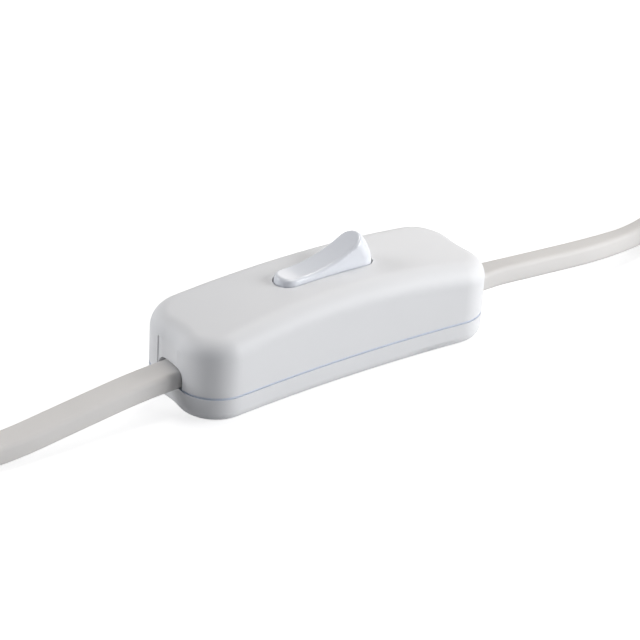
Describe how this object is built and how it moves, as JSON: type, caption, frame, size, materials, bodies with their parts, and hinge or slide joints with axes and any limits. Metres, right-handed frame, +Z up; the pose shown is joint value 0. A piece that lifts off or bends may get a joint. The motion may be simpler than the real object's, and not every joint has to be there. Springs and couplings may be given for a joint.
{
  "type": "inline cord switch",
  "caption": "White inline rocker switch on a flat lamp cord, with a cambered two-shell housing, coiled spare cord, flat plug and stripped lamp end.",
  "frame": {"origin": "middle of the housing's underside", "axes": "+X along the cord towards the lamp end, +Z up through the rocker, +Y across the housing"},
  "size_m": [0.4124, 0.0479, 0.0271],
  "materials": {
    "housing": "satin",
    "rocker": "gloss",
    "plunger": "satin",
    "clamp": "satin",
    "cord": "satin",
    "plug": "satin",
    "live_core": "satin",
    "neutral_core": "satin",
    "copper": "satin",
    "brass": "satin",
    "contact": "polished",
    "pins": "polished",
    "steel": "satin"
  },
  "bodies": {
    "housing": {"top_cover": "housing", "bottom_cover": "housing", "fixed_contact": "contact", "live_in_terminal": "brass", "live_out_terminal": "brass", "neutral_link": "brass", "terminal_screws": "steel", "cord_clamp_left": "clamp", "cord_clamp_right": "clamp", "clamp_screws": "steel", "housing_screws": "steel", "cord_left": "cord", "cord_right": "cord", "coil_left": "cord", "coil_right": "cord", "plug_lead": "cord", "plug_body": "plug", "plug_pins": "pins", "lamp_lead": "cord", "lamp_live_core": "live_core", "lamp_neutral_core": "neutral_core", "lamp_strands": "copper", "live_core_left": "live_core", "live_core_right": "live_core", "neutral_core_left": "neutral_core", "neutral_core_right": "neutral_core", "live_strands_left": "copper", "live_strands_right": "copper", "neutral_strands_left": "copper", "neutral_strands_right": "copper"},
    "key": {"rocker": "rocker", "rocker_spring": "steel"},
    "plunger": {"spring_plunger": "plunger"},
    "bridge": {"contact_bridge": "brass", "moving_contact": "contact"}
  },
  "joints": [
    {"name": "rocker_tilt", "type": "hinge", "parent": "housing", "child": "key", "pos_m": [0, 0, 0.0181], "axis": [0, 1, 0], "range_deg": [0, 30]},
    {"name": "plunger_slide", "type": "slide", "parent": "key", "child": "plunger", "axis": [-0.2588, 0, 0.9659], "range_m": [0, 0.0008], "stiffness_N_per_m": 600, "deforming": ["rocker_spring"]},
    {"name": "contact_bridge_tilt", "type": "hinge", "parent": "housing", "child": "bridge", "pos_m": [0, 0, 0.0064], "axis": [0, 1, 0], "range_deg": [-12, 0]}
  ],
  "couplings": [
    {"joint": "contact_bridge_tilt", "follows": "rocker_tilt", "ratio": -0.4}
  ]
}
